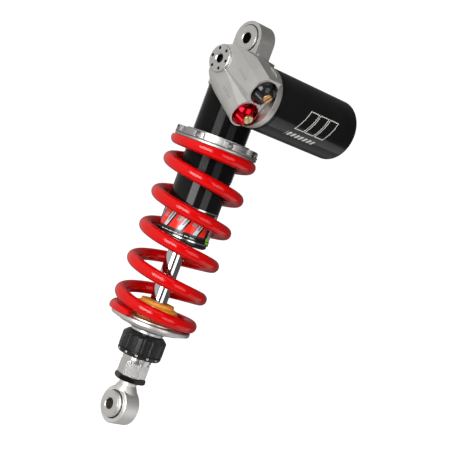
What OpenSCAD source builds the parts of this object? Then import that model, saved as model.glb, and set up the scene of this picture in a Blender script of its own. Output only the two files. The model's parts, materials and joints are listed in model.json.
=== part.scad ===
// Rear shock absorber with a piggyback reservoir, laid out as separate pieces.
// Frame: origin at the centre of the upper eye bore, +Z up along the damper axis,
// X along the eye bores, the reservoir lies along +X on the -Y side.

/* [Overall] */
// distance between the two eye bore centres
eye_to_eye = 348.5; // [340:0.5:360]
// bore of both eye bushings
eye_bore_d = 10; // [8:0.5:11]
// outside diameter of the threaded damper tube
tube_od = 50; // [49:0.25:51]
// bore of the damper tube
tube_bore = 44; // [42:0.5:45]
// piston rod diameter
rod_d = 16; // [14:0.5:17]

/* [Spring] */
// wire diameter of the coil spring
wire_d = 11.5; // [9:0.25:12]
// mean coil radius
coil_r = 35; // [34.5:0.25:36]
// height of the upper end plane
spring_top_z = -101.5; // [-103:0.5:-101.5]

/* [Reservoir] */
// outside diameter of the reservoir
res_od = 55.5; // [54:0.25:55.5]
// bore of the reservoir
res_bore = 49; // [46:0.5:50]
// length of the reservoir body
res_len = 103; // [85:1:110]

/* [Adjusters] */
// knob diameter in the head pockets
comp_knob_d = 22.6; // [20:0.2:23]
// number of finger scallops on a compression knob
comp_flutes = 3; // [3:1:6]
// rebound knob diameter
reb_knob_d = 41; // [36:0.5:41]
// number of flutes on the rebound knob
reb_flutes = 18; // [10:1:24]
// number of radial holes in the preload ring
ring_holes = 8; // [6:1:10]
// outside diameter of the preload ring
ring_od = 78; // [74:0.5:80]

/* [Hidden] */
$fn = 96;

e = 0.05;                 // assembly gap between pieces that do not move
run = 0.05;               // radial running clearance
arm_a = 31.3;             // slope of the head arm
lez = -eye_to_eye;        // lower eye height
// head: X of the arm's face, of the flange disc and of the joint to the reservoir; cen_n and end_s are
// the arm's middle across and its end along; adj_* places the two adjuster channels, cap_* the plug
flat_x = -50.2; flange_x0 = -29.3; joint_x = -23.3;
cen_n = -13.3; end_s = 86.5;
adj_x = -36.9; adj_dn = 12.5; pocket_r = 11.8;
scallop_a = 70; slot_a = 62; slot_b = -40;   // turn of the scallops and of the two screw slots
res_y = -54; res_z = -48.6; res_r = res_od / 2;
cap_y = -22.5; cap_z = -28.9; cap_r = 12.3; plug_a = 8;
coll_r = 26.3; coll_z = -49.5;
lug_r = 16.4; lug_w = 9.4;
race_r = 13.0; ball_r = 10.4; race_w = 6.2;
tube_r = tube_od / 2; bore_r = tube_bore / 2; spig_r = tube_r - 1.3;
smooth_z = -128; tube_z = -186.8;
rod_r = rod_d / 2;
// preload ring and spring seats
seat_t = 2.4; ring_h = 6.7; recess_d = 2.9; recess_w = 19.5;
ring_z = spring_top_z + seat_t;
spring_bot_z = lez + 82.5;
// lower end
knob_top = lez + 69.4; knob_bot = lez + 47.7; hub_r = 10.5;
dial_r = reb_knob_d / 2; stud_r = 8.2; nut_r = 14.9; col_r = 13.4;
hex_ac = 27.2; hex_turn = 16; hex_bot = lez + 29; hex_top = knob_bot - 5.5;
low_r = 17.3; low_w = 8.6;

module arm() { rotate([90 + arm_a, 0, 0]) children(); }     // local x = X, y = n, z = s (down the arm)
module xc(r, x0, x1, y = 0, z = 0) { translate([x0, y, z]) rotate([0, 90, 0]) cylinder(r = r, h = x1 - x0); }
module xcone(ra, rb, x0, x1, y = 0, z = 0) {
    translate([x0, y, z]) rotate([0, 90, 0]) cylinder(r1 = ra, r2 = rb, h = x1 - x0);
}
module zc(r, z0, z1) { translate([0, 0, z0]) cylinder(r = r, h = z1 - z0); }
module zcone(ra, rb, z0, z1) { translate([0, 0, z0]) cylinder(r1 = ra, r2 = rb, h = z1 - z0); }
module tubez(ro, ri, z0, z1) { difference() { zc(ro, z0, z1); zc(ri, z0 - 1, z1 + 1); } }
module tubex(ro, ri, x0, x1, y = 0, z = 0) {
    difference() { xc(ro, x0, x1, y, z); xc(ri, x0 - 1, x1 + 1, y, z); }
}

// ---------- head ----------
module arm_section() {
    union() {
        translate([adj_x, cen_n - adj_dn]) circle(r = 13.3);
        polygon([[flat_x, cen_n - adj_dn], [flat_x, 6], [-43, 13.2], [flange_x0 + 1.1, 13.2],
                 [flange_x0 + 1.1, cen_n - adj_dn - 11.2], [adj_x, cen_n - adj_dn - 11.2]]);
    }
}
module arm_profile() {   // side outline of the arm, drawn in Y and Z
    polygon([[-12.6, -20], [-22, -15.8], [-33.9, -13.9], [-43.5, -15.3], [-72, -23.53],
             [-99, -40], [-99, -90], [-40, -90], [-17.3, -50.4], [-12.6, -42]]);
}
module head_solid() {
    // eye lug
    xc(lug_r, -lug_w, lug_w);
    translate([-lug_w, -lug_r + 0.02, -32]) cube([2 * lug_w, 2 * lug_r - 0.04, 32]);
    // collar around the tube
    zc(coll_r, coll_z + 1, -20);
    zcone(coll_r - 1, coll_r, coll_z, coll_z + 1);
    zcone(coll_r, coll_r - 5, -20, -15);
    // web between collar and arm
    translate([0, 0, -47.5]) linear_extrude(32.9)
        polygon([[-32, -46], [-24, -45.5], [-13, -34], [8.9, -26], [8.9, 2], [-20, 2], [-32, -13.5]]);
    // boss of the valve chamber
    xc(cap_r + 0.9, flat_x - 0.2, -14, cap_y, cap_z);
    // arm with the two adjuster channels
    intersection() {
        arm() translate([0, 0, 5]) linear_extrude(end_s - 5) arm_section();
        translate([flat_x - 1, 0, 0]) rotate([90, 0, 90]) linear_extrude(60) arm_profile();
    }
    // flange disc
    xc(res_r, flange_x0, joint_x, res_y, res_z);
}
module head_block() color([0.74, 0.73, 0.71]) difference() {
    union() {
        difference() {
            head_solid();
            // room for the reservoir body
            xc(res_r + 0.3, joint_x, 60, res_y, res_z);
        }
        // spigot that carries the reservoir
        xc(res_bore / 2 - e, joint_x - 2, joint_x + 11, res_y, res_z);
    }
    // dished face of the flange beyond the arm end
    intersection() {
        xcone(res_r - 0.6, res_r - 3.4, flange_x0 - 1, -24.85, res_y, res_z);
        arm() translate([-60, -60, end_s + 0.4]) cube([80, 120, 60]);
    }
    // reservoir spigot bore
    xc(res_bore / 2 - 4, joint_x + 2, joint_x + 20, res_y, res_z);
    // eye bore and circlip grooves
    xc(race_r + e, -lug_w - 1, lug_w + 1);
    for (s = [-1, 1]) xc(race_r + 0.6, s * (race_w + 0.75) - 0.65, s * (race_w + 0.75) + 0.65);
    // tube socket
    zc(spig_r + e, coll_z - 1, -31);
    // valve chamber and plug seat
    xc(9, flat_x - 1, -24, cap_y, cap_z);
    xc(cap_r - 1.5 + e, flat_x - 1, flat_x + 9, cap_y, cap_z);
    // oil ways from the chamber to the tube
    xc(2, -26, -12, -17, -28.3);
    translate([-13.5, -17.2, -34]) cylinder(r = 1.7, h = 6);
    // adjuster pockets and needle bores
    for (k = [-1, 1]) arm() translate([adj_x, cen_n + k * adj_dn, 0]) {
        translate([0, 0, 69]) cylinder(r = pocket_r, h = 19.3);
        translate([0, 0, 48]) cylinder(r = 4.6, h = 22);
    }
    // cross way between the needle bores, way to the chamber and way to the reservoir
    arm() translate([adj_x, cen_n, 50.5]) rotate([90, 0, 0]) cylinder(r = 2.2, h = 26, center = true);
    arm() translate([adj_x + 0.4, cen_n + 0.3, 36]) cylinder(r = 1.9, h = 14.8);
    arm() translate([adj_x + 0.5, cen_n - 4, 55.1]) rotate([0, 90, 0]) cylinder(r = 1.8, h = 24);
    arm() translate([adj_x + 0.5, cen_n, 55]) rotate([90, 0, 0]) cylinder(r = 1.5, h = 12, center = true);
    // shallow valley between the channels
    arm() translate([flat_x, cen_n - 0.6, 44]) rotate([0, 4.9, 0]) linear_extrude(50)
        polygon([[0.02, 0], [-6, -10.6], [-6, 10.6]]);
}
module upper_bearing_race() color([0.55, 0.55, 0.56]) difference() {
    xc(race_r, -race_w, race_w);
    sphere(r = ball_r + run, $fn = 96);
}
module spherical_ball(w) difference() {
    intersection() { sphere(r = ball_r, $fn = 96); xc(ball_r + 2, -w, w); }
    xc(6.5, -w - 1, w + 1);
}
module upper_ball() color([0.6, 0.6, 0.62]) spherical_ball(7.2);
module spacer_pair(xf, xb) for (s = [-1, 1]) rotate([0, 0, s < 0 ? 180 : 0]) difference() {
    union() {
        xc(6.5 - e, 1, xb + 1);
        xc(8.2, 7.2 + e, xb + 0.6);
        xc(12.1, xb, xf - 0.5);
        xcone(12.1, 11.6, xf - 0.5, xf);
    }
    xc(eye_bore_d / 2, 0, xf + 1);
    xcone(eye_bore_d / 2, eye_bore_d / 2 + 0.7, xf - 0.7, xf + 0.001);
    tubex(12.2, 11.0, xf - 0.5, xf + 1);
}
module upper_spacers() color([0.75, 0.74, 0.72]) spacer_pair(10.8, 8.3);
module circlip_pair() for (s = [-1, 1]) difference() {
    xc(race_r + 0.5, s * (race_w + 0.75) - 0.5, s * (race_w + 0.75) + 0.5);
    xc(race_r - 1.2, -20, 20);
    rotate([s < 0 ? 35 : -35, 0, 0]) translate([-20, -1.5, -race_r - 3]) cube([40, 3, 8]);
}
module upper_circlips() color([0.12, 0.12, 0.12]) circlip_pair();

// ---------- valve plug and adjusters ----------
module valve_plug() color([0.75, 0.74, 0.73]) difference() {
    union() {
        xcone(cap_r - 0.5, cap_r, flat_x - 2.1, flat_x - 1.6, cap_y, cap_z);
        xc(cap_r, flat_x - 1.6, flat_x - 0.25, cap_y, cap_z);
        xc(cap_r - 1.5, flat_x - 1, flat_x + 8.6, cap_y, cap_z);
    }
    for (i = [0:5])
        translate([flat_x - 3, cap_y, cap_z]) rotate([plug_a + 60 * i, 0, 0]) xc(1.4, 0, 5, 9.2);
    translate([flat_x - 3, cap_y, cap_z]) rotate([0, 90, 0]) cylinder(r = 3.6, h = 6.5, $fn = 6);
    xcone(5.0, 4.0, flat_x - 2.2, flat_x - 1.2, cap_y, cap_z);
    tubex(cap_r, cap_r - 3.1, flat_x + 4, flat_x + 6.2, cap_y, cap_z);
}
module plug_oring() color([0.08, 0.08, 0.08])
    translate([flat_x + 5.1, cap_y, cap_z]) rotate([0, 90, 0])
        rotate_extrude() translate([cap_r - 2.35, 0]) circle(r = 0.75, $fn = 24);
module check_valve() color([0.6, 0.6, 0.6]) difference() {
    union() { xc(8.9, -38, -34.5, cap_y, cap_z); xc(5, -34.5, -27, cap_y, cap_z); }
    xc(2, -39, -26, cap_y, cap_z);
    for (i = [0:5])
        translate([-39, cap_y, cap_z]) rotate([60 * i, 0, 0]) xc(1, 0, 6, 6.8);
}
knob_s = 93.4;            // top of a compression knob, along the arm
module comp_knob(k) arm() translate([adj_x, cen_n + k * adj_dn, 0]) difference() {
    rotate_extrude() polygon([[0, 70], [comp_knob_d / 2, 70], [comp_knob_d / 2, 87], [comp_knob_d / 2 - 0.5, 88.4],
        [comp_knob_d / 2 - 1.6, 90.4], [comp_knob_d / 2 - 3.4, 92.2], [comp_knob_d / 2 - 5.2, knob_s - 0.2],
        [comp_knob_d / 2 - 5.7, knob_s], [0, knob_s]]);
    for (i = [0:comp_flutes - 1]) rotate([0, 0, scallop_a + i * 360 / comp_flutes])
        translate([comp_knob_d / 2 + 1.6, 0, 84]) rotate([0, -24, 0]) cylinder(r = 4.4, h = 16);
    translate([0, 0, knob_s - 0.6]) cylinder(r = 4.9, h = 5);
    translate([0, 0, 60]) cylinder(r = 2.6 + e, h = 40);
}
module comp_screw(k) arm() translate([adj_x, cen_n + k * adj_dn, 0]) difference() {
    union() {
        translate([0, 0, knob_s - 0.6 + e]) cylinder(r = 4.4, h = 1.3);
        translate([0, 0, knob_s + 0.7 + e]) cylinder(r1 = 4.4, r2 = 3.9, h = 0.5);
        translate([0, 0, 80]) cylinder(r = 1.6, h = knob_s - 80);
    }
    rotate([0, 0, k > 0 ? slot_a : slot_b]) translate([-6, -0.55, knob_s + 0.1]) cube([12, 1.1, 3]);
}
module comp_needle(k) arm() translate([adj_x, cen_n + k * adj_dn, 0]) difference() {
    union() {
        translate([0, 0, 68.5]) cylinder(r = 2.6, h = 17.5);
        translate([0, 0, 58]) cylinder(r = 4.6 - run, h = 10.6);
        translate([0, 0, 52]) cylinder(r1 = 1.2, r2 = 3.2, h = 6);
    }
    translate([0, 0, 79.5]) cylinder(r = 1.6 + e, h = 10);
    translate([0, 0, 61]) difference() { cylinder(r = 6, h = 2); translate([0, 0, -1]) cylinder(r = 3.5, h = 4); }
}
module lo_comp_knob() color([0.05, 0.05, 0.05]) comp_knob(1);
module hi_comp_knob() color([0.6, 0.02, 0.05]) comp_knob(-1);
module lo_comp_screw() color([0.8, 0.6, 0.4]) comp_screw(1);
module hi_comp_screw() color([0.78, 0.72, 0.5]) comp_screw(-1);
module lo_comp_needle() color([0.6, 0.6, 0.6]) comp_needle(1);
module hi_comp_needle() color([0.6, 0.6, 0.6]) comp_needle(-1);

// ---------- reservoir ----------
module reservoir_body() color([0.04, 0.04, 0.04]) difference() {
    union() {
        xc(res_r, joint_x + 0.1, joint_x + res_len - 3, res_y, res_z);
        translate([joint_x + res_len - 3, res_y, res_z]) rotate([0, 90, 0]) rotate_extrude() union() {
            square([res_r - 3, 3]);
            intersection() { translate([res_r - 3, 0]) circle(r = 3); translate([res_r - 3.5, 0]) square([4, 3]); }
        }
    }
    xc(res_bore / 2, joint_x - 1, joint_x + res_len + 1, res_y, res_z);
    tubex(res_r + 1, res_r - 0.6, joint_x + 2.4, joint_x + 3.4, res_y, res_z);
    tubex(res_bore / 2 + 0.9, 5, joint_x + res_len - 4, joint_x + res_len - 2.6, res_y, res_z);
}
module reservoir_end_cap() color([0.09, 0.09, 0.09]) difference() {
    xc(res_bore / 2 - e, joint_x + res_len - 14, joint_x + res_len - 4.1, res_y, res_z);
    xc(res_bore / 2 - 5, joint_x + res_len - 7, joint_x + res_len, res_y, res_z);
    xc(5.0, joint_x + res_len - 20, joint_x + res_len, res_y, res_z);
}
module gas_valve() color([0.7, 0.6, 0.35]) difference() {
    union() {
        xc(5.0 - e, joint_x + res_len - 13, joint_x + res_len - 7, res_y, res_z);
        xc(3.8, joint_x + res_len - 7, joint_x + res_len - 1, res_y, res_z);
        translate([joint_x + res_len - 7 + e, res_y, res_z]) rotate([0, 90, 0]) cylinder(r = 6, h = 2, $fn = 6);
    }
    xc(1.6, joint_x + res_len - 20, joint_x + res_len, res_y, res_z);
}
module end_cap_clip() color([0.5, 0.5, 0.5]) difference() {
    xc(res_bore / 2 + 0.8, joint_x + res_len - 3.9, joint_x + res_len - 2.7, res_y, res_z);
    xc(res_bore / 2 - 1.4, joint_x + res_len - 5, joint_x + res_len, res_y, res_z);
    translate([joint_x + res_len - 6, res_y - 2.5, res_z + 10]) cube([5, 5, 20]);
}
module floating_piston() color([0.65, 0.65, 0.66]) difference() {
    xc(res_bore / 2 - run, 16, 34, res_y, res_z);
    xc(res_bore / 2 - 4, 24, 36, res_y, res_z);
    tubex(res_bore / 2 + 1, res_bore / 2 - 2.2, 22, 25.2, res_y, res_z);
}
module floating_piston_seal() color([0.07, 0.07, 0.07])
    tubex(res_bore / 2 - 0.03, res_bore / 2 - 2.15, 22.1, 25.1, res_y, res_z);

// ---------- damper ----------
module damper_tube() color([0.05, 0.05, 0.05]) difference() {
    union() {
        zc(spig_r, coll_z - 1, -31 - e);
        zc(tube_r, smooth_z, coll_z - e);
        zc(tube_r - 1.1, tube_z + 4, smooth_z + 0.5);
        zc(tube_r - 0.6, tube_z, tube_z + 4.5);
    }
    zc(bore_r, tube_z - 1, -30);
    tubez(bore_r + 0.8, 5, tube_z + 2, tube_z + 3.4);
}
module seal_head() color([0.1, 0.1, 0.1]) difference() {
    union() {
        zc(bore_r - e, tube_z + 3.5, tube_z + 18);
        zc(bore_r - 2, tube_z + 1, tube_z + 4);
        zc(tube_r - 1.4, tube_z - 2.6, tube_z - e);
        zc(bore_r - 2, tube_z - 1, tube_z + 2);
        zcone(tube_r - 3.2, tube_r - 1.4, tube_z - 4, tube_z - 2.6);
    }
    zc(rod_r + run, tube_z - 6, tube_z + 20);
    zc(rod_r + 3 + e, tube_z - 5, tube_z + 1.5);
}
module rod_wiper() color([0.03, 0.03, 0.03]) difference() {
    union() {
        zc(rod_r + 3, tube_z - 3.8, tube_z + 1.5);
        zcone(rod_r + 1.4, rod_r + 2.6, tube_z - 5.2, tube_z - 3.8);
    }
    zc(rod_r + run, tube_z - 6, tube_z + 3);
}
module seal_head_clip() color([0.5, 0.5, 0.5]) difference() {
    tubez(bore_r + 0.7, bore_r - 1.95, tube_z + 2.1, tube_z + 3.3);
    translate([-2.5, 10, tube_z]) cube([5, 20, 8]);
}
module preload_ring() color([0.76, 0.75, 0.74]) difference() {
    union() {
        zc(ring_od / 2, ring_z + 0.9, ring_z + ring_h - 0.7);
        zcone(ring_od / 2, ring_od / 2 - 0.7, ring_z + ring_h - 0.7, ring_z + ring_h);
        zcone(ring_od / 2 - 0.7, ring_od / 2, ring_z + 0.2, ring_z + 0.9);
        zc(tube_r + 4.5, ring_z + ring_h - 0.1, ring_z + ring_h + 1.2);
    }
    zc(tube_r + run, ring_z - 2, ring_z + ring_h + 5);
    for (i = [0:ring_holes - 1]) rotate([0, 0, i * 360 / ring_holes + 20]) {
        translate([ring_od / 2 - 7, 0, ring_z + ring_h / 2]) rotate([0, 90, 0]) cylinder(r = 2.9, h = 12);
        rotate([0, 0, 180 / ring_holes]) intersection() {
            tubez(ring_od / 2 + 4, ring_od / 2 - recess_d, ring_z + 1.7, ring_z + ring_h + 4);
            translate([ring_od / 2 - 8, -recess_w / 2, ring_z]) cube([16, recess_w, ring_h + 8]);
        }
    }
}
module upper_spring_seat() color([0.7, 0.69, 0.68]) difference() {
    union() {
        zc(ring_od / 2 - 0.4, spring_top_z + 0.5, ring_z);
        zcone(ring_od / 2 - 0.9, ring_od / 2 - 0.4, spring_top_z, spring_top_z + 0.5);
        zc(coil_r - wire_d / 2 - 0.6, spring_top_z - 5, spring_top_z + 0.2);
    }
    zc(tube_r + 0.1, spring_top_z - 8, ring_z + 3);
}

// ---------- coil spring ----------
t_right = -43.2;                          // angle where the upper closed coil ends
z_right = spring_top_z - 5.8;             // wire centre there
t_a0 = -332; t_a1 = 1634; t_a2 = 1756.8; t_a3 = 1994;
function zc_end() = spring_bot_z + wire_d / 2 + 0.65;
function coil_z(t) =
    t < t_right ? z_right + (t_right - t) * 5.4 / (t_right - t_a0) :
    t < t_a1 ? z_right - (t - t_right) * act2 :
    t < t_a2 ? z1 + (zc_end() - z1) * (1 - pow(1 - (t - t_a1) / (t_a2 - t_a1), 1.6)) :
    zc_end() - (t - t_a2) * 6.0 / (t_a3 - t_a2);
act2 = (z_right - (spring_bot_z + 12)) / (t_a1 - t_right);
z1 = spring_bot_z + 12;
nstep = 194; nf = 12;
module coil_spring() color([0.75, 0.02, 0.04]) {
    pts = [for (i = [0:nstep]) let(t = t_a0 + (t_a3 - t_a0) * i / nstep, c = coil_z(t))
        for (j = [0:nf - 1]) let(f = 360 * j / nf, r = coil_r + wire_d / 2 * cos(f),
            z = min(spring_top_z - 0.02, max(spring_bot_z + 0.02, c + wire_d / 2 * sin(f))))
        [r * cos(t), r * sin(t), z]];
    faces = concat(
        [for (i = [0:nstep - 1]) for (j = [0:nf - 1])
            [i * nf + j, i * nf + (j + 1) % nf, (i + 1) * nf + (j + 1) % nf]],
        [for (i = [0:nstep - 1]) for (j = [0:nf - 1])
            [i * nf + j, (i + 1) * nf + (j + 1) % nf, (i + 1) * nf + j]],
        [[for (j = [nf - 1:-1:0]) j]],
        [[for (j = [0:nf - 1]) nstep * nf + j]]);
    polyhedron(points = pts, faces = faces);
}

// ---------- rod group ----------
piston_z = tube_z + 34;
module piston_rod() color([0.8, 0.8, 0.82]) difference() {
    union() {
        zc(rod_r, knob_top + 2, piston_z - 3.15);
        zc(5, piston_z - 4, piston_z + 19);
        zc(6, knob_bot - 4, knob_top + 2.5);
    }
    zc(2.6, knob_bot - 5, piston_z + 20);
}
module damper_piston() color([0.6, 0.6, 0.6]) difference() {
    zc(bore_r - 0.3, piston_z - 2, piston_z + 10);
    zc(5 + e, piston_z - 10, piston_z + 20);
    tubez(bore_r + 1, bore_r - 1.3, piston_z + 0.5, piston_z + 7.5);
    for (i = [0:5]) rotate([0, 0, 60 * i]) translate([12, 0, piston_z - 5]) cylinder(r = 2.3, h = 20);
}
module piston_band() color([0.1, 0.09, 0.08])
    tubez(bore_r - run, bore_r - 1.25, piston_z + 0.6, piston_z + 7.4);
module piston_shims() color([0.5, 0.52, 0.55]) {
    tubez(15.5, 5 + e, piston_z - 3.1, piston_z - 2.05);
    tubez(15.5, 5 + e, piston_z + 10.05, piston_z + 11.1);
    tubez(12, 5 + e, piston_z + 11.15, piston_z + 12.0);
}
module piston_nut() color([0.6, 0.6, 0.6]) difference() {
    zcyl6(9.5, piston_z + 12.05, piston_z + 18.5);
    zc(5 + e, piston_z + 10, piston_z + 20);
}
module zcyl6(r, z0, z1) { translate([0, 0, z0]) cylinder(r = r, h = z1 - z0, $fn = 6); }
module top_out_ring() color([0.12, 0.12, 0.12]) tubez(14, rod_r + 0.4, tube_z + 18.4, piston_z - 3.2);
module rebound_needle() color([0.7, 0.7, 0.7]) union() {
    zc(2.5, knob_bot - 3.5, piston_z + 15);
    zcone(2.5, 0.6, piston_z + 15, piston_z + 20);
}
module bump_stop() color([0.9, 0.45, 0.05]) difference() {
    union() {
        zcone(15.0, 15.6, spring_bot_z + 17.4 - 0.8, spring_bot_z + 17.4);
        rotate_extrude() polygon([[0, spring_bot_z + 2.1], [20.5, spring_bot_z + 2.1], [20.8, spring_bot_z + 11],
            [19.6, spring_bot_z + 13.6], [16.4, spring_bot_z + 14.6], [15.6, spring_bot_z + 15.6],
            [15.4, spring_bot_z + 17.4], [0, spring_bot_z + 17.4]]);
    }
    zc(rod_r + 0.1, spring_bot_z, spring_bot_z + 30);
}
module lower_spring_seat() color([0.76, 0.75, 0.74]) difference() {
    translate([0, 0, spring_bot_z]) rotate_extrude() polygon([
        [0, 2], [25.5, 2], [coil_r - wire_d / 2 - 0.6, 0.8], [coil_r - wire_d / 2 - 0.6, 0], [36.6, 0],
        [37.2, -0.6], [37.2, -3.2], [36.6, -3.8], [33.6, -3.8], [33.2, -5], [29.5, -5.4], [28.2, -6.8],
        [25.5, -7.4], [17.2, -9.4], [16.4, -9.9], [0, -9.9]]);
    zc(rod_r + 0.1, spring_bot_z - 20, spring_bot_z + 10);
}
module seat_retainer() color([0.76, 0.75, 0.74]) difference() {
    union() {
        zc(15, knob_top + 0.9, spring_bot_z - 9.95);
        zcone(14.4, 15, knob_top + 0.3, knob_top + 0.9);
    }
    zc(rod_r + 0.1, knob_top + 2.0, spring_bot_z);
    zc(hub_r + 0.1, knob_top - 1, knob_top + 2.05);
}
module rebound_knob() color([0.05, 0.05, 0.05]) difference() {
    rotate_extrude() polygon([
        [0, knob_top - 0.1], [dial_r - 3.7, knob_top - 0.1], [dial_r - 0.5, knob_top - 3.0],
        [dial_r, knob_top - 3.9], [dial_r, knob_top - 16.4], [dial_r - 0.9, knob_top - 16.8],
        [dial_r - 0.9, knob_top - 17.3], [dial_r, knob_top - 17.7], [dial_r - 0.2, knob_top - 19.6],
        [dial_r - 1.4, knob_bot + 0.5], [dial_r - 1.9, knob_bot + 0.1], [0, knob_bot + 0.1]]);
    zc(hub_r + run, knob_bot - 2, knob_top + 2);
    for (i = [0:reb_flutes - 1])
        rotate([0, 0, (i + 0.5) * 360 / reb_flutes])
            translate([dial_r + 0.9, 0, knob_top - 16.0]) cylinder(r = 1.7, h = 20);
}
module clevis_body() color([0.76, 0.76, 0.75]) difference() {
    union() {
        zc(hub_r, knob_bot - 1.0, knob_top + 2.0);
        zc(col_r, knob_bot - 4.2, knob_bot - 0.75);
        zc(col_r - 0.9, hex_top - 0.5, knob_bot - 4.1);
        intersection() {
            rotate([0, 0, hex_turn]) zcyl6(hex_ac / 2, hex_bot, hex_top);
            union() {
                zc(hex_ac / 2 + 1, hex_bot - 1, hex_top - 0.9);
                zcone(hex_ac / 2 + 1, hex_ac / 2 - 1.1, hex_top - 0.95, hex_top + 0.05);
            }
        }
    }
    zc(6 + e, knob_bot - 4.05, knob_top + 5);
    zc(stud_r + e, hex_bot - 3, knob_bot - 4.0);
}
module lock_nut() color([0.05, 0.05, 0.05]) difference() {
    intersection() {
        rotate([0, 0, 8]) zcyl6(nut_r, hex_bot - 4.9, hex_bot - 0.05);
        union() {
            zcone(nut_r - 1.5, nut_r, hex_bot - 4.9, hex_bot - 3.9);
            zc(nut_r, hex_bot - 3.9, hex_bot - 1.05);
            zcone(nut_r, nut_r - 1.5, hex_bot - 1.05, hex_bot - 0.05);
        }
    }
    zc(stud_r + e, hex_bot - 8, hex_bot + 7);
}
module lower_eye() color([0.78, 0.78, 0.77]) difference() {
    union() {
        zc(stud_r, lez + 8, knob_bot - 6);
        zcone(stud_r + 3.3, stud_r, lez + 14.4, lez + 20.5);
        translate([0, 0, lez]) {
            xc(low_r, -low_w + 0.8, low_w - 0.8);
            xcone(low_r - 0.8, low_r, -low_w, -low_w + 0.8);
            xcone(low_r, low_r - 0.8, low_w - 0.8, low_w);
        }
    }
    translate([0, 0, lez]) {
        xc(race_r + e, -low_w - 1, low_w + 1);
        for (s = [-1, 1]) xc(race_r + 0.6, s * (race_w + 0.75) - 0.65, s * (race_w + 0.75) + 0.65);
    }
}
module lower_bearing_race() color([0.55, 0.55, 0.56]) translate([0, 0, lez]) upper_bearing_race();
module lower_ball() color([0.6, 0.6, 0.62]) translate([0, 0, lez]) spherical_ball(7.2);
module lower_spacers() color([0.75, 0.74, 0.72]) translate([0, 0, lez]) spacer_pair(13.2, 8.3);
module lower_circlips() color([0.12, 0.12, 0.12]) translate([0, 0, lez]) circlip_pair();

head_block();
upper_bearing_race();
upper_ball();
upper_spacers();
upper_circlips();
valve_plug();
plug_oring();
check_valve();
lo_comp_knob();
lo_comp_screw();
lo_comp_needle();
hi_comp_knob();
hi_comp_screw();
hi_comp_needle();
reservoir_body();
reservoir_end_cap();
gas_valve();
end_cap_clip();
floating_piston();
floating_piston_seal();
damper_tube();
seal_head();
rod_wiper();
seal_head_clip();
preload_ring();
upper_spring_seat();
coil_spring();
piston_rod();
damper_piston();
piston_band();
piston_shims();
piston_nut();
top_out_ring();
rebound_needle();
bump_stop();
lower_spring_seat();
seat_retainer();
rebound_knob();
clevis_body();
lock_nut();
lower_eye();
lower_bearing_race();
lower_ball();
lower_spacers();
lower_circlips();
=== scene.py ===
"""Looks of the rear shock absorber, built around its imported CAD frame.

The frame's origin is the upper eye centre, +Z runs up the damper axis, X along the eye bores.
Lengths are in metres.
"""

import json
import math

import bmesh
import bpy
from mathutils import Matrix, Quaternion, Vector

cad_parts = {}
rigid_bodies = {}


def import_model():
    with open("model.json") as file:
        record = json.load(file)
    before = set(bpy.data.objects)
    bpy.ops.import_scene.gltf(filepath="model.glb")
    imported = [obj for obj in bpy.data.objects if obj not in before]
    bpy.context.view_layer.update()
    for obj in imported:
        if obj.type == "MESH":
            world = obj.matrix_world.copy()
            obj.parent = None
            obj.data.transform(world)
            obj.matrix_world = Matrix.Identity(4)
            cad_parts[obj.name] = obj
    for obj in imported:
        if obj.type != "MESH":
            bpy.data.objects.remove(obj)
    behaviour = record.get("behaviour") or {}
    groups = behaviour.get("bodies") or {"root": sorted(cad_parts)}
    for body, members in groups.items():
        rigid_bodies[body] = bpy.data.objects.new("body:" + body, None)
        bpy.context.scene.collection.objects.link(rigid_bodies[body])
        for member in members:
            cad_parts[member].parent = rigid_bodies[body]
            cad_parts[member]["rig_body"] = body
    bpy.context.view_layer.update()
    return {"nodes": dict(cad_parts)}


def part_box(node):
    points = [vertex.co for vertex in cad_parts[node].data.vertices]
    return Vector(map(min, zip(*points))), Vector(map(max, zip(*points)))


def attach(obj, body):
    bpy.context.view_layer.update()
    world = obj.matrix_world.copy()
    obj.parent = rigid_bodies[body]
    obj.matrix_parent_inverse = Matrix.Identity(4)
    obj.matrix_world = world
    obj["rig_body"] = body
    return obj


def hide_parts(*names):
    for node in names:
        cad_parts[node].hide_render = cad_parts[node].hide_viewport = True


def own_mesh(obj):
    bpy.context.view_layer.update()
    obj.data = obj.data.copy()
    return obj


MM = 0.001
TAU = 2 * math.pi

# places in the CAD frame that the materials and the finer meshes follow
RESERVOIR_CENTRE = (0, -54 * MM, -48.6 * MM)
RESERVOIR_RADIUS = 27.75 * MM
ARM_SLOPE = 31.3  # degrees below the horizontal
ARM_FACE = -49.9 * MM
ARM_MIDDLE = 13.3 * MM
PLUG_CENTRE = (0, -22.5 * MM, -28.9 * MM)
PLUG_FLOOR = -50.6 * MM
SOCKET_RADIUS = 3.9 * MM
LOWER_EYE_CENTRE = (0, 0, -0.3485)
BORE_RADIUS = 5.1 * MM
DIAL_RADIUS = 20.5 * MM
TUBE_RADIUS = 24 * MM

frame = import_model()


# ---------- camera, floor and lights ----------
CAMERA_AZIMUTH = -44.0
CAMERA_ELEVATION = 2.2
CAMERA_ROLL = 20.4
CAMERA_DISTANCE = 1.123
CAMERA_TARGET = Vector((0.0236, -0.0221, -0.1628))
CAMERA_LENS = 100
SENSOR_WIDTH = 36
FLOOR_Z = -0.75
FLOOR_HALF = 12
FLOOR_GLOW = 0.9
BACKDROP = 1.05
# the room that the object reflects: its dark side, its pale wall and the light from below
WALL_AZIMUTH = -140.0
WALL_ELEVATION = 12
ROOM_DARK = 0.11
ROOM_BRIGHT = 0.6
ROOM_TABLE = 0.45
ROOM_COLOUR = (1.0, 0.985, 0.97, 1)
LOWER_END = Vector((0, 0, -0.36))
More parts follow.
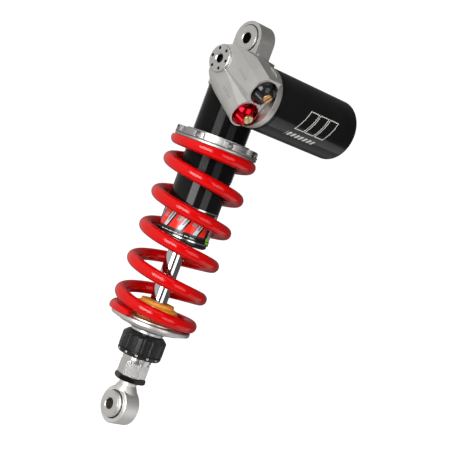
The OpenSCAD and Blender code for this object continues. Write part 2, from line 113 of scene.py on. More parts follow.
# name: azimuth, elevation, distance, width, height, power, what it faces
SOFTBOXES = {
    "left_light": (-65, 8, 1.3, 0.75, 0.9, 19, CAMERA_TARGET),
    "right_light": (-2, 8, 1.3, 0.75, 0.9, 5, CAMERA_TARGET),
    "low_right_light": (52, -14, 0.5, 0.5, 0.3, 0.36, LOWER_END),
    "top_light": (-30, 70, 1.4, 0.8, 0.8, 2.5, CAMERA_TARGET),
}


def direction(azimuth, elevation):
    """Unit vector from the object towards a viewer at that azimuth and elevation, in degrees."""
    a = math.radians(azimuth)
    e = math.radians(elevation)
    return Vector((math.sin(a) * math.cos(e), -math.cos(a) * math.cos(e), math.sin(e)))


def make_camera():
    back = direction(CAMERA_AZIMUTH, CAMERA_ELEVATION)
    data = bpy.data.cameras.new("camera")
    data.lens = CAMERA_LENS
    data.sensor_width = SENSOR_WIDTH
    data.clip_start = 0.01
    camera = bpy.data.objects.new("camera", data)
    bpy.context.scene.collection.objects.link(camera)
    camera.location = CAMERA_TARGET + back * CAMERA_DISTANCE
    camera.rotation_mode = "QUATERNION"
    aim = (-back).to_track_quat("-Z", "Y")
    camera.rotation_quaternion = aim @ Quaternion((0, 0, 1), math.radians(CAMERA_ROLL))
    bpy.context.scene.camera = camera


def softbox(name, azimuth, elevation, distance, width, height, power, target):
    """A rectangular light that faces the target."""
    data = bpy.data.lights.new(name, "AREA")
    data.shape = "RECTANGLE"
    data.size = width
    data.size_y = height
    data.energy = power
    light = bpy.data.objects.new(name, data)
    bpy.context.scene.collection.objects.link(light)
    back = direction(azimuth, elevation)
    light.location = target + back * distance
    light.rotation_mode = "QUATERNION"
    light.rotation_quaternion = back.to_track_quat("Z", "Y")
    light.visible_camera = False


def make_world():
    """White to the camera. The object sees a dark room with one pale wall behind it on the left."""
    world = bpy.data.worlds.new("studio")
    bpy.context.scene.world = world
    world.use_nodes = True
    tree = world.node_tree
    tree.nodes.clear()

    def node(kind, **inputs):
        made = tree.nodes.new(kind)
        for name, value in inputs.items():
            socket = made.inputs[name.replace("_", " ")]
            if isinstance(value, bpy.types.NodeSocket):
                tree.links.new(value, socket)
            else:
                socket.default_value = value
        return made

    def between(value, start, end, low, high):
        made = node("ShaderNodeMapRange", Value=value, From_Min=start, From_Max=end, To_Min=low,
                    To_Max=high)
        made.interpolation_type = "SMOOTHSTEP"
        return made.outputs["Result"]

    coords = tree.nodes.new("ShaderNodeTexCoord").outputs["Generated"]
    towards = tree.nodes.new("ShaderNodeVectorMath")
    towards.operation = "DOT_PRODUCT"
    tree.links.new(coords, towards.inputs[0])
    towards.inputs[1].default_value = direction(WALL_AZIMUTH, WALL_ELEVATION)
    wall = between(towards.outputs["Value"], 0.1, 0.85, ROOM_DARK, ROOM_BRIGHT)
    height = node("ShaderNodeSeparateXYZ", Vector=coords).outputs["Z"]
    table = between(height, -0.3, -0.7, 0.0, ROOM_TABLE)
    highest = tree.nodes.new("ShaderNodeMath")
    highest.operation = "MAXIMUM"
    tree.links.new(wall, highest.inputs[0])
    tree.links.new(table, highest.inputs[1])
    level = highest.outputs[0]
    glow = node("ShaderNodeBackground", Color=ROOM_COLOUR, Strength=level)
    seen = node("ShaderNodeBackground", Color=(1, 1, 1, 1), Strength=BACKDROP)
    camera_ray = tree.nodes.new("ShaderNodeLightPath").outputs["Is Camera Ray"]
    mix = tree.nodes.new("ShaderNodeMixShader")
    tree.links.new(camera_ray, mix.inputs[0])
    tree.links.new(glow.outputs[0], mix.inputs[1])
    tree.links.new(seen.outputs[0], mix.inputs[2])
    out = tree.nodes.new("ShaderNodeOutputWorld")
    tree.links.new(mix.outputs[0], out.inputs[0])


def make_stage():
    bpy.context.scene.view_settings.view_transform = "Standard"
    make_world()
    for name, settings in SOFTBOXES.items():
        softbox(name, *settings)
    mesh = bpy.data.meshes.new("floor")
    half = FLOOR_HALF
    mesh.from_pydata([(-half, -half, FLOOR_Z), (half, -half, FLOOR_Z), (half, half, FLOOR_Z),
                      (-half, half, FLOOR_Z)], [], [(0, 1, 2, 3)])
    floor = bpy.data.objects.new("floor", mesh)
    bpy.context.scene.collection.objects.link(floor)
    pale = Finish("pale_floor", (0.9, 0.9, 0.9), 0.0, 0.9)
    pale.bsdf.inputs["Emission Color"].default_value = (1, 1, 1, 1)
    pale.bsdf.inputs["Emission Strength"].default_value = FLOOR_GLOW
    pale.roughness_between(pale.noise(8, detail=2), 0.85, 0.95)
    mesh.materials.append(pale.material)
    floor.visible_glossy = False
    floor.visible_diffuse = False


# ---------- materials ----------
class Finish:
    """A Principled material whose colour, roughness and bump come from procedural textures."""

    def __init__(self, name, colour, metallic, roughness, **sockets):
        self.material = bpy.data.materials.new(name)
        self.material.use_nodes = True
        self.tree = self.material.node_tree
        self.bsdf = self.tree.nodes["Principled BSDF"]
        self.bsdf.inputs["Base Color"].default_value = (*colour, 1)
        self.bsdf.inputs["Metallic"].default_value = metallic
        self.bsdf.inputs["Roughness"].default_value = roughness
        for socket, value in sockets.items():
            self.bsdf.inputs[socket.replace("_", " ")].default_value = value
        self.colour = colour
        self.coords = self.tree.nodes.new("ShaderNodeTexCoord").outputs["Object"]
        self.normal = None

    def add(self, kind, *sources, **settings):
        """A node of that kind, its first inputs linked to sources."""
        node = self.tree.nodes.new(kind)
        for key, value in settings.items():
            setattr(node, key, value)
        for i, source in enumerate(sources):
            if isinstance(source, bpy.types.NodeSocket):
                self.tree.links.new(source, node.inputs[i])
            else:
                node.inputs[i].default_value = source
        return node

    def maths(self, operation, *sources):
        """The result of one Math node."""
        return self.add("ShaderNodeMath", *sources, operation=operation).outputs[0]

    def split(self, vector=None):
        """X, Y and Z of a vector, by default the place in the CAD frame."""
        node = self.add("ShaderNodeSeparateXYZ", vector or self.coords)
        return node.outputs

    def noise(self, scale, detail=3, vector=None, stretch=None):
        source = vector or self.coords
        if stretch:
            source = self.add("ShaderNodeVectorMath", source, stretch, operation="MULTIPLY").outputs[0]
        node = self.add("ShaderNodeTexNoise", source)
        node.inputs["Scale"].default_value = scale
        node.inputs["Detail"].default_value = detail
        return node.outputs["Fac"]

    def round_axis(self, axis="Z", centre=(0, 0, 0)):
        """Distance from an axis and place along it."""
        moved = self.add("ShaderNodeVectorMath", self.coords, centre, operation="SUBTRACT").outputs[0]
        x, y, z = self.split(moved)
        along, a, b = {"X": (x, y, z), "Z": (z, x, y)}[axis]
        squares = self.maths("ADD", self.maths("MULTIPLY", a, a), self.maths("MULTIPLY", b, b))
        return self.maths("SQRT", squares), along

    def turned(self, axis="Z", centre=(0, 0, 0), scale=2600):
        """Fine rings round an axis, as a lathe leaves them."""
        radius, along = self.round_axis(axis, centre)
        rings = self.add("ShaderNodeCombineXYZ", radius, 0.0, along).outputs[0]
        return self.noise(scale, 2, vector=rings)

    def spread(self, source, low, high, from_low=0.3, from_high=0.7):
        node = self.add("ShaderNodeMapRange", source)
        node.inputs["From Min"].default_value = from_low
        node.inputs["From Max"].default_value = from_high
        node.inputs["To Min"].default_value = low
        node.inputs["To Max"].default_value = high
        return node.outputs["Result"]

    def roughness_between(self, source, low, high):
        self.tree.links.new(self.spread(source, low, high), self.bsdf.inputs["Roughness"])

    def ramp(self, source, dark, light, low=0.3, high=0.7):
        node = self.add("ShaderNodeValToRGB", source)
        node.color_ramp.elements[0].position = low
        node.color_ramp.elements[0].color = (*dark, 1)
        node.color_ramp.elements[1].position = high
        node.color_ramp.elements[1].color = (*light, 1)
        return node.outputs["Color"]

    def colour_between(self, source, darker, lighter):
        """Lets the base colour wander between two shades of itself."""
        dark = tuple(c * darker for c in self.colour)
        light = tuple(min(1, c * lighter) for c in self.colour)
        self.paint(self.ramp(source, dark, light))

    def paint(self, colour):
        self.tree.links.new(colour, self.bsdf.inputs["Base Color"])

    def inside(self, value, low, high):
        """1 where the value lies between low and high, else 0."""
        above = self.maths("GREATER_THAN", value, low)
        below = self.maths("LESS_THAN", value, high)
        return self.maths("MULTIPLY", above, below)

    def both(self, *masks):
        """1 where every mask is 1."""
        result = masks[0]
        for mask in masks[1:]:
            result = self.maths("MULTIPLY", result, mask)
        return result

    def print_over(self, under, colour, mask):
        """A colour laid over another where the mask is 1."""
        node = self.add("ShaderNodeMix", data_type="RGBA")
        for socket, source in (("A", under), ("B", colour)):
            target = [i for i in node.inputs if i.name == socket and i.type == "RGBA"][0]
            if isinstance(source, bpy.types.NodeSocket):
                self.tree.links.new(source, target)
            else:
                target.default_value = (*source, 1)
        self.tree.links.new(mask, node.inputs["Factor"])
        return [o for o in node.outputs if o.type == "RGBA"][0]

    def round_z(self, radius):
        """Arc length round Z, 0 on the camera's side and growing to the right, and height, in mm."""
        x, y, z = self.split()
        facing = direction(CAMERA_AZIMUTH, 0)
        ahead = self.maths("ADD", self.maths("MULTIPLY", x, facing.x), self.maths("MULTIPLY", y, facing.y))
        aside = self.maths("SUBTRACT", self.maths("MULTIPLY", y, facing.x),
                           self.maths("MULTIPLY", x, facing.y))
        angle = self.maths("ARCTAN2", aside, ahead)
        return self.maths("MULTIPLY", angle, radius / MM), self.maths("MULTIPLY", z, 1 / MM)

    def bump(self, height, distance, strength=1.0):
        node = self.add("ShaderNodeBump")
        node.inputs["Strength"].default_value = strength
        node.inputs["Distance"].default_value = distance
        self.tree.links.new(height, node.inputs["Height"])
        if self.normal:
            self.tree.links.new(self.normal, node.inputs["Normal"])
        self.normal = node.outputs["Normal"]
        self.tree.links.new(self.normal, self.bsdf.inputs["Normal"])


# prints are laid out in mm along and round their surface
PRINT_WHITE = (0.62, 0.62, 0.60)
LABEL_TOP = -156.8 * MM
LABEL_STEP = -182.5 * MM
LABEL_BOTTOM = -186.6 * MM


def printed_label():
    """The foil label of the tube: plain slanted blocks and lines, no lettering."""
    f = Finish("printed_label", (0.008, 0.008, 0.009), 0.0, 0.2, Specular_IOR_Level=0.4)
    arc, height = f.round_z(TUBE_RADIUS)
    slanted = f.maths("SUBTRACT", arc, f.maths("MULTIPLY", height, 0.4))
    period = 15.0
    shifted = f.maths("DIVIDE", f.maths("ADD", slanted, 4.0), period)
    block = f.maths("MULTIPLY", f.maths("FRACT", shifted), period)
    front = f.inside(arc, -30, 22)
    colour = f.ramp(f.noise(90, 3), (0.006, 0.006, 0.007), (0.011, 0.011, 0.012))

    def lay(shade, *masks):
        nonlocal colour
        colour = f.print_over(colour, shade, f.both(*masks))

    # dark ground of each block, its pale stripe and that stripe's core, the red field and its window
    lay((0.02, 0.02, 0.022), front, f.inside(height, -182.0, -160.0), f.inside(block, 0.0, 14.0))
    lay((0.55, 0.57, 0.58), front, f.inside(height, -180.0, -160.5), f.inside(block, 9.4, 13.6))
    lay((0.16, 0.17, 0.18), front, f.inside(height, -175.0, -166.0), f.inside(block, 10.6, 12.4))
    lay((0.84, 0.018, 0.01), front, f.inside(height, -180.0, -160.5), f.inside(block, 0.5, 9.0))
    lay((0.24, 0.26, 0.27), front, f.inside(height, -172.5, -168.5), f.inside(block, 3.6, 6.8))
    # a row of dashes, the grey side panel with its slanted lines, and the green tag
    dash = f.maths("FRACT", f.maths("DIVIDE", slanted, 5.0))
    lay(PRINT_WHITE, f.inside(arc, -22, 12), f.inside(height, -183.6, -182.6), f.inside(dash, 0.0, 0.8))
    lay((0.45, 0.46, 0.46), f.inside(arc, 26.5, 70), f.inside(height, -185.0, -158.6))
    lay((0.02, 0.02, 0.02), f.inside(arc, 28, 70), f.inside(height, -177, -162),
        f.inside(f.maths("FRACT", f.maths("DIVIDE", slanted, 4.0)), 0.0, 0.4))
    lay((0.26, 0.80, 0.03), f.inside(arc, 25.5, 37), f.inside(height, -184.9, -179.5))
    # bright foil along both edges
    edges = f.maths("ADD", f.inside(height, -157.9, -156), f.inside(height, -187, -185.5))
    lay((0.72, 0.72, 0.72), edges)
    f.paint(colour)
    f.tree.links.new(edges, f.bsdf.inputs["Metallic"])
    f.roughness_between(f.noise(300, 3), 0.16, 0.24)
    f.bump(f.noise(1500, 2), 0.00001, 0.2)
    return f.material


def printed_reservoir():
    """Gloss black with a plain pale motif of slanted frames and bars, no lettering."""
    f = Finish("gloss_black_printed", (0.006, 0.006, 0.006), 0.0, 0.1, Specular_IOR_Level=0.25)
    x, y, z = f.split()
    outward = f.maths("SUBTRACT", RESERVOIR_CENTRE[1], y)
    upward = f.maths("SUBTRACT", z, RESERVOIR_CENTRE[2])
    arc = f.maths("MULTIPLY", f.maths("ARCTAN2", upward, outward), RESERVOIR_RADIUS / MM)
    along = f.maths("MULTIPLY", x, 1 / MM)
    slanted = f.maths("SUBTRACT", along, f.maths("MULTIPLY", arc, 0.45))
    period = 13.0
    frame_at = f.maths("MULTIPLY", f.maths("FRACT", f.maths("DIVIDE", slanted, period)), period)
    window = f.inside(slanted, 13, 52)
    outer = f.both(window, f.inside(arc, -15, 5), f.inside(frame_at, 0.6, 12.4))
    hollow = f.both(f.inside(arc, -14.2, 4.2), f.inside(frame_at, 1.5, 11.5))
    frames = f.maths("MULTIPLY", outer, f.maths("SUBTRACT", 1.0, hollow))
    bar_at = f.maths("FRACT", f.maths("DIVIDE", slanted, 5.2))
    bars = f.both(f.inside(slanted, 13, 49.4), f.inside(arc, -24, -19.5), f.inside(bar_at, 0.0, 0.62))
    base = f.ramp(f.noise(40, 3), (0.005, 0.005, 0.005), (0.008, 0.008, 0.008))
    f.paint(f.print_over(base, PRINT_WHITE, f.maths("ADD", frames, bars)))
    f.roughness_between(f.noise(500, 3), 0.08, 0.13)
    f.bump(f.noise(3500, 2), 0.000005, 0.1)
    return f.material


def marked_dial():
    """Satin black with short pale index marks round the lower ring."""
    f = Finish("dial_black", (0.008, 0.008, 0.008), 0.0, 0.3, Specular_IOR_Level=0.4)
    arc, height = f.round_z(DIAL_RADIUS)
    spacing = 10.73
    share = f.maths("FRACT", f.maths("DIVIDE", f.maths("ADD", arc, 2.0), spacing))
    ring = f.inside(height, -299.2, -297.4)
    tick = f.inside(share, 0.0, 0.05)
    dot = f.inside(share, 0.1, 0.2)
    marks = f.both(ring, f.maths("ADD", tick, dot))
    base = f.ramp(f.noise(150, 3), (0.006, 0.006, 0.006), (0.011, 0.011, 0.011))
    f.paint(f.print_over(base, PRINT_WHITE, marks))
    f.roughness_between(f.noise(90, 3), 0.24, 0.3)
    return f.material


def blasted_aluminium():
    """Fine bead-blasted and anodised alloy of the head, with plain ticks beside the two adjusters."""
    f = Finish("blasted_aluminium", (0.62, 0.61, 0.59), 1.0, 0.5)
    x, y, z = f.split()
    slope = math.radians(90 + ARM_SLOPE)
    down = f.maths("SUBTRACT", f.maths("MULTIPLY", z, math.cos(slope) / MM),
                   f.maths("MULTIPLY", y, math.sin(slope) / MM))
    across = f.maths("ADD", f.maths("MULTIPLY", y, math.cos(slope) / MM),
                     f.maths("MULTIPLY", z, math.sin(slope) / MM))
    offset = f.maths("ABSOLUTE", f.maths("ADD", across, ARM_MIDDLE / MM))
    tick = f.inside(f.maths("FRACT", f.maths("DIVIDE", down, 3.0)), 0.0, 0.22)
    face = f.maths("LESS_THAN", x, ARM_FACE)
    ticks = f.both(face, f.inside(offset, 9.6, 12.0), f.inside(down, 58.0, 75.0), tick)
    base = f.ramp(f.noise(60, 4), (0.58, 0.57, 0.55), (0.65, 0.64, 0.62))
    f.paint(f.print_over(base, (0.30, 0.29, 0.28), ticks))
    f.roughness_between(f.noise(900, 3), 0.42, 0.56)
    f.bump(f.noise(5200, 3), 0.00003, 0.5)
    return f.material


def turned_aluminium(name="turned_aluminium", axis="Z", centre=(0, 0, 0), grey=0.62, low=0.2, high=0.32):
    f = Finish(name, (grey, grey * 0.99, grey * 0.97), 1.0, 0.28)
    rings = f.turned(axis, centre)
    f.colour_between(f.noise(70, 3), 0.95, 1.04)
    f.roughness_between(rings, low, high)
    f.bump(rings, 0.00002, 0.15)
    return f.material


def milled_aluminium():
    f = Finish("milled_aluminium", (0.70, 0.69, 0.68), 1.0, 0.26)
    f.colour_between(f.noise(70, 3), 0.97, 1.03)
    f.roughness_between(f.noise(90, 3), 0.23, 0.28)
    return f.material


def spacer_aluminium(name, centre, grey, painted_bore_shade):
    """Turned alloy of the eye spacers, with painted shade down the bolt bore."""
    f = Finish(name, (grey, grey * 0.99, grey * 0.97), 1.0, 0.3)
    rings = f.turned("X", centre)
    radius = f.round_axis("X", centre)[0]
    base = f.ramp(f.noise(70, 3), tuple(c * 0.95 for c in f.colour), tuple(c * 1.03 for c in f.colour))
    # inside the bolt bore the colour goes darker: painted shade
    bore = f.maths("LESS_THAN", radius, BORE_RADIUS)
    f.paint(f.print_over(base, (painted_bore_shade, painted_bore_shade * 0.93, painted_bore_shade * 0.86), bore))
    f.roughness_between(rings, 0.28, 0.42)
    f.bump(rings, 0.00002, 0.15)
    return f.material


def plug_aluminium():
    """Turned alloy with painted shade inside its hex socket and pin holes."""
    f = Finish("turned_aluminium_plug", (0.66, 0.65, 0.64), 1.0, 0.3)
    rings = f.turned("X", PLUG_CENTRE)
    radius, along = f.round_axis("X", PLUG_CENTRE)
    socket = f.maths("LESS_THAN", radius, SOCKET_RADIUS)
    shaded_beyond_floor = f.maths("GREATER_THAN", along, PLUG_FLOOR)
    base = f.ramp(f.noise(70, 3), (0.62, 0.61, 0.60), (0.69, 0.68, 0.67))
    # near-black painted shade inside the hex socket and beyond the plug floor
    f.paint(f.print_over(base, (0.05, 0.045, 0.04), f.maths("MAXIMUM", socket, shaded_beyond_floor)))
    f.roughness_between(rings, 0.26, 0.38)
    f.bump(rings, 0.00002, 0.15)
    return f.material


def bearing_steel():
    f = Finish("bearing_steel", (0.52, 0.52, 0.54), 1.0, 0.2)
    f.colour_between(f.noise(120, 3), 0.9, 1.08)
    f.roughness_between(f.noise(800, 2), 0.14, 0.28)
    f.bump(f.noise(2500, 2), 0.00002, 0.3)
    return f.material


def hard_chrome():
    f = Finish("hard_chrome", (0.66, 0.66, 0.68), 1.0, 0.06)
    f.colour_between(f.noise(50, 2), 0.97, 1.03)
    f.roughness_between(f.noise(700, 3, stretch=(1, 1, 0.04)), 0.04, 0.12)
    f.bump(f.noise(4000, 2), 0.00001, 0.2)
    return f.material


def small_steel():
    f = Finish("plated_small_steel", (0.55, 0.55, 0.56), 1.0, 0.3)
    f.colour_between(f.noise(200, 3), 0.85, 1.1)
    f.roughness_between(f.noise(1200, 2), 0.22, 0.4)
    f.bump(f.noise(3000, 2), 0.00003, 0.4)
    return f.material


def gloss_black():
    """Polished black anodising of the reservoir and the tube."""
    f = Finish("gloss_black", (0.005, 0.005, 0.005), 0.0, 0.09, Specular_IOR_Level=0.22)
    f.colour_between(f.noise(40, 3), 0.8, 1.3)
    f.roughness_between(f.noise(500, 3), 0.06, 0.11)
    f.bump(f.noise(3500, 2), 0.000005, 0.1)
    return f.material


def satin_black(name="satin_black", low=0.28, high=0.42):
    f = Finish(name, (0.008, 0.008, 0.008), 0.0, 0.35, Specular_IOR_Level=0.4)
    f.colour_between(f.noise(150, 3), 0.7, 1.5)
    f.roughness_between(f.noise(900, 3), low, high)
    f.bump(f.noise(4200, 3), 0.00002, 0.5)
    return f.material


def red_anodised():
    f = Finish("red_anodised", (0.55, 0.004, 0.014), 1.0, 0.14)
    f.colour_between(f.noise(150, 3), 0.85, 1.15)
    f.roughness_between(f.noise(1200, 2), 0.1, 0.2)
    f.bump(f.noise(2800, 2), 0.00002, 0.3)
    return f.material


def red_powder_coat():
    """Glossy powder coat with a faint orange peel."""
    f = Finish("red_powder_coat", (0.58, 0.0005, 0.0012), 0.0, 0.12, Specular_IOR_Level=0.35)
    f.colour_between(f.noise(30, 3), 0.96, 1.04)
    f.roughness_between(f.noise(400, 2), 0.1, 0.17)
    f.bump(f.noise(420, 2), 0.00002, 0.15)
    return f.material


def brass(name, colour):
    f = Finish(name, colour, 1.0, 0.3)
    f.colour_between(f.noise(500, 3), 0.85, 1.1)
    f.roughness_between(f.noise(1500, 2), 0.22, 0.36)
    f.bump(f.noise(4000, 2), 0.00003, 0.4)
    return f.material


def rubber():
    f = Finish("seal_rubber", (0.012, 0.012, 0.012), 0.0, 0.6)
    f.colour_between(f.noise(300, 3), 0.7, 1.4)
    f.roughness_between(f.noise(900, 3), 0.5, 0.7)
    f.bump(f.noise(2500, 3), 0.00004, 0.5)
    return f.material


def foam():
    """Closed-cell polyurethane of the bump stop."""
    f = Finish("orange_foam", (0.80, 0.33, 0.03), 0.0, 0.7, Subsurface_Weight=0.15)
    f.bsdf.inputs["Subsurface Radius"].default_value = (0.004, 0.002, 0.001)
    f.colour_between(f.noise(700, 4), 0.8, 1.12)
    f.roughness_between(f.noise(600, 3), 0.6, 0.8)
    f.bump(f.noise(1500, 4), 0.00015, 0.6)
    return f.material


def ptfe():
    f = Finish("ptfe_band", (0.10, 0.07, 0.05), 0.0, 0.5)
    f.colour_between(f.noise(500, 3), 0.8, 1.2)
    f.roughness_between(f.noise(800, 3), 0.4, 0.6)
    f.bump(f.noise(2000, 3), 0.00003, 0.4)
    return f.material


# ---------- meshes ----------
def add_piece(name, mesh, material, body):
    """Links a finished mesh as a piece that rides on a body."""
    piece = bpy.data.objects.new(name, mesh)
    bpy.context.scene.collection.objects.link(piece)
    mesh.materials.clear()
    mesh.materials.append(material)
    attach(piece, body)
    return piece


def smooth_by_angle(mesh, degrees=32):
    """Smooth shading that keeps edges sharper than the angle."""
    mesh.shade_smooth()
    mesh.set_sharp_from_angle(angle=math.radians(degrees))


def lathe(name, profile, steps=160):
    """Closed mesh turned round Z from a closed outline of (radius, z) points, in metres."""
    count = len(profile)
    verts = []
    for i in range(steps):
        angle = TAU * i / steps
        verts += [(r * math.cos(angle), r * math.sin(angle), z) for r, z in profile]
    faces = []
    for i in range(steps):
        for j in range(count):
            a = i * count + j
            b = i * count + (j + 1) % count
            c = (i + 1) % steps * count + (j + 1) % count
            d = (i + 1) % steps * count + j
            faces.append((a, d, c, b))
    mesh = bpy.data.meshes.new(name)
    mesh.from_pydata(verts, [], faces)
    bm = bmesh.new()
    bm.from_mesh(mesh)
    bmesh.ops.recalc_face_normals(bm, faces=bm.faces)
    bm.to_mesh(mesh)
    bm.free()
    smooth_by_angle(mesh)
    return mesh


WELD = 0.002 * MM
FLAT_ANGLE = math.radians(0.5)
EDGE_ANGLE = math.radians(28)
EDGE_WIDTH = 0.25 * MM


def refined(node, material):
    """The CAD node's shape with its sharp edges rounded, in place of the plain node."""
    source = frame["nodes"][node]
    bm = bmesh.new()
    bm.from_mesh(source.data)
    bmesh.ops.remove_doubles(bm, verts=bm.verts, dist=WELD)
    bmesh.ops.dissolve_limit(bm, angle_limit=FLAT_ANGLE, verts=bm.verts, edges=bm.edges)
    sharp = [e for e in bm.edges if e.is_manifold and e.calc_face_angle() > EDGE_ANGLE]
    bmesh.ops.bevel(bm, geom=sharp, offset=EDGE_WIDTH, segments=2, profile=0.6, affect="EDGES",
                    clamp_overlap=False)
    mesh = bpy.data.meshes.new(node + "_finished")
    bm.to_mesh(mesh)
    bm.free()
    if "custom_normal" in mesh.attributes:
        mesh.attributes.remove(mesh.attributes["custom_normal"])
    smooth_by_angle(mesh)
    piece = add_piece(node + "_finished", mesh, material, source["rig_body"])
    weighted = piece.modifiers.new("weighted_normals", "WEIGHTED_NORMAL")
    weighted.keep_sharp = True
    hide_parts(node)
    return piece


# ---------- spring ----------
SPRING_TOP = -0.1015
SPRING_BOTTOM = -0.266
WIRE = 0.0115
COIL_RADIUS = 0.035
SPRING_STEPS = 1100
WIRE_SIDES = 36
# turn of the wire's ends and of the places where its slope changes, in degrees
COIL_START, CLOSED_TOP, CLOSED_BOTTOM, SEATED, COIL_END = -332, -43.2, 1634, 1756.8, 1994


def wire_height(angle):
    """Height of the wire's centre along the coil, which winds down as the angle grows, in degrees."""
    upper = SPRING_TOP - 5.8 * MM
    lower = SPRING_BOTTOM + 12 * MM
    rest = SPRING_BOTTOM + WIRE / 2 + 0.65 * MM
    if angle < CLOSED_TOP:
        return upper + 5.4 * MM * (CLOSED_TOP - angle) / (CLOSED_TOP - COIL_START)
    if angle < CLOSED_BOTTOM:
        return upper + (lower - upper) * (angle - CLOSED_TOP) / (CLOSED_BOTTOM - CLOSED_TOP)
    if angle < SEATED:
        share = (angle - CLOSED_BOTTOM) / (SEATED - CLOSED_BOTTOM)
        return lower + (rest - lower) * (1 - (1 - share) ** 1.6)
    return rest - 6 * MM * (angle - SEATED) / (COIL_END - SEATED)


def make_spring(material):
    """The round wire swept along the coil, with flat ground ends, as one fixed shape that rides with the
    damper.
    """
    steps, sides = SPRING_STEPS, WIRE_SIDES
    verts = []
    for i in range(steps + 1):
        degrees = COIL_START + (COIL_END - COIL_START) * i / steps
        t = math.radians(degrees)
        # the ends close in to a small radius, as a cut wire end does
        ends = min(i, steps - i)
        shrink = min(1, 0.9 + 0.1 * ends / 2)
        for j in range(sides):
            f = TAU * j / sides
            r = COIL_RADIUS + WIRE / 2 * shrink * math.cos(f)
            z = wire_height(degrees) + WIRE / 2 * shrink * math.sin(f)
            z = min(SPRING_TOP - 0.02 * MM, max(SPRING_BOTTOM + 0.02 * MM, z))
            verts.append((r * math.cos(t), r * math.sin(t), z))
    faces = []
    for i in range(steps):
        for j in range(sides):
            a = i * sides + j
            b = i * sides + (j + 1) % sides
            faces.append((a, b, b + sides, a + sides))
    faces.append(tuple(reversed(range(sides))))
    faces.append(tuple(steps * sides + j for j in range(sides)))
    mesh = bpy.data.meshes.new("coil_spring_wound")
    mesh.from_pydata(verts, [], faces)
    bm = bmesh.new()
    bm.from_mesh(mesh)
    bmesh.ops.recalc_face_normals(bm, faces=bm.faces)
    bm.to_mesh(mesh)
    bm.free()
    smooth_by_angle(mesh, 40)
    piece = add_piece("coil_spring_wound", mesh, material, "damper")
    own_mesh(piece)
    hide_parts("coil_spring")


# ---------- damper tube ----------
def make_tube(material):
    """The tube with its fine adjusting thread, the plain lower body and the rolled end."""
    low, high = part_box("damper_tube")
    plain = 23.9 * MM
    collar = 24.4 * MM
    crest = 25 * MM
    root = 24.2 * MM
    bore = 22 * MM
    pitch = 1.5 * MM
    thread_top = -50.2 * MM
    thread_end = -127.2 * MM
    outline = [(23.6 * MM, high.z), (23.7 * MM, -49.6 * MM), (24.6 * MM, -49.6 * MM)]
    turns = int((thread_top - thread_end) / pitch)
    for turn in range(turns):
        top = thread_top - turn * pitch
        outline += [(crest - 0.04 * MM, top), (crest, top - 0.06 * pitch),
                    (crest, top - 0.3 * pitch), (crest - 0.04 * MM, top - 0.36 * pitch),
                    (root, top - 0.6 * pitch), (root, top - 0.76 * pitch)]
    outline += [(24.6 * MM, -127.4 * MM), (plain, -128.3 * MM), (plain, -182.2 * MM),
                (collar, -182.9 * MM), (collar, low.z + 0.4 * MM), (24.1 * MM, low.z), (bore, low.z),
                (bore, high.z)]
    mesh = lathe("damper_tube_threaded", outline)
    piece = add_piece("damper_tube_threaded", mesh, material, "damper")
    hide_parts("damper_tube")


def make_label(material):
    """The printed band round the plain part of the tube."""
    under, over, step = 23.85 * MM, TUBE_RADIUS, 0.5 * MM
    outline = [(under, LABEL_TOP), (over, LABEL_TOP - 0.05 * MM), (over, LABEL_STEP),
               (over + step, LABEL_STEP - step), (over + step, LABEL_BOTTOM + 0.05 * MM),
               (under + step, LABEL_BOTTOM), (under + step, LABEL_STEP - step), (under, LABEL_STEP)]
    add_piece("tube_label", lathe("tube_label", outline), material, "damper")


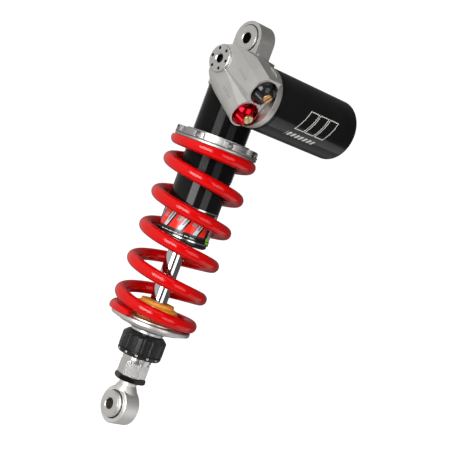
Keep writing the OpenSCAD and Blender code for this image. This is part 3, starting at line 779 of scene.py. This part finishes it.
def main():
    """Finishes every CAD node, then adds the spring, the tube and the label."""
    make_camera()
    make_stage()
    alloy = blasted_aluminium()
    turned_upper = turned_aluminium("turned_aluminium_upper_eye", "X", grey=0.66, low=0.26, high=0.4)
    # the lower eye is a lighter copy of the turned alloy: painted light for its brightly lit barrel
    painted_lit_turned_lower = turned_aluminium("turned_aluminium_lower_eye_painted_lit", "X", LOWER_EYE_CENTRE, 0.84, 0.46, 0.56)
    # the ring and its seat get a darker copy of the turned alloy: painted shade that tones down their
    # highlight
    painted_shade_ring_alloy = turned_aluminium("turned_aluminium_ring_painted_shade", "Z", grey=0.42, low=0.4, high=0.5)
    milled = milled_aluminium()
    seat_alloy = turned_aluminium("turned_aluminium_seat", "Z", grey=0.72, low=0.3, high=0.4)
    steel = bearing_steel()
    # the bearing races are near-black as painted shadow of the dark gap round the spacers
    race_shadow_black = satin_black("race_black_painted_shadow", 0.4, 0.5)
    small = small_steel()
    black = gloss_black()
    satin = satin_black()
    seal = rubber()
    finishes = {
        "head_block": (alloy, "machined_aluminium"),
        # the last number is the grey of the painted shade in the bolt bore
        "upper_spacers": (spacer_aluminium("upper_spacer_aluminium", (0, 0, 0), 0.68, 0.12),
                          "machined_aluminium"),
        "upper_bearing_race": (race_shadow_black, "bearing_steel"),
        "upper_ball": (steel, "bearing_steel"),
        "upper_circlips": (satin, "steel_small_parts"),
        "valve_plug": (plug_aluminium(), "machined_aluminium"),
        "plug_oring": (seal, "seal_rubber"),
        "check_valve": (small, "steel_small_parts"),
        "lo_comp_knob": (satin_black("gloss_black_knob", 0.1, 0.2), "black_anodised"),
        "hi_comp_knob": (red_anodised(), "red_anodised"),
        "lo_comp_screw": (brass("tan_brass", (0.50, 0.29, 0.13)), "brass_screws"),
        "hi_comp_screw": (brass("pale_brass", (0.52, 0.42, 0.20)), "brass_screws"),
        "lo_comp_needle": (small, "steel_small_parts"),
        "hi_comp_needle": (small, "steel_small_parts"),
        "reservoir_body": (printed_reservoir(), "black_anodised"),
        "reservoir_end_cap": (satin, "black_anodised"),
        "gas_valve": (brass("valve_brass", (0.70, 0.55, 0.28)), "brass_screws"),
        "end_cap_clip": (small, "steel_small_parts"),
        "floating_piston": (turned_upper, "machined_aluminium"),
        "floating_piston_seal": (seal, "seal_rubber"),
        "seal_head": (satin, "black_anodised"),
        "rod_wiper": (seal, "seal_rubber"),
        "seal_head_clip": (small, "steel_small_parts"),
        "preload_ring": (painted_shade_ring_alloy, "machined_aluminium"),
        "upper_spring_seat": (painted_shade_ring_alloy, "machined_aluminium"),
        "piston_rod": (hard_chrome(), "hard_chrome"),
        "damper_piston": (small, "steel_small_parts"),
        "piston_band": (ptfe(), "ptfe_band"),
        "piston_shims": (small, "steel_small_parts"),
        "piston_nut": (small, "steel_small_parts"),
        "top_out_ring": (seal, "seal_rubber"),
        "rebound_needle": (small, "steel_small_parts"),
        "bump_stop": (foam(), "orange_foam"),
        "lower_spring_seat": (seat_alloy, "machined_aluminium"),
        "seat_retainer": (seat_alloy, "machined_aluminium"),
        "rebound_knob": (marked_dial(), "black_anodised"),
        "clevis_body": (milled, "machined_aluminium"),
        "lock_nut": (black, "steel_small_parts"),
        "lower_eye": (painted_lit_turned_lower, "machined_aluminium"),
        "lower_bearing_race": (race_shadow_black, "bearing_steel"),
        "lower_ball": (steel, "bearing_steel"),
        # the last number is the grey of the painted shade in the bolt bore
        "lower_spacers": (spacer_aluminium("lower_spacer_aluminium", LOWER_EYE_CENTRE, 0.78, 0.5),
                          "machined_aluminium"),
        "lower_circlips": (satin, "steel_small_parts"),
    }
    rounded = ["head_block", "upper_spacers", "valve_plug", "lo_comp_knob", "hi_comp_knob", "lo_comp_screw",
               "hi_comp_screw", "reservoir_body", "preload_ring", "upper_spring_seat", "bump_stop",
               "lower_spring_seat", "seat_retainer", "rebound_knob", "clevis_body", "lock_nut", "lower_eye",
               "lower_spacers", "seal_head"]
    for node, (material, slot) in finishes.items():
        if node in rounded:
            refined(node, material)
        else:
            piece = frame["nodes"][node]
            piece.data.materials.clear()
            piece.data.materials.append(material)
    make_spring(red_powder_coat())
    make_tube(black)
    make_label(printed_label())


main()
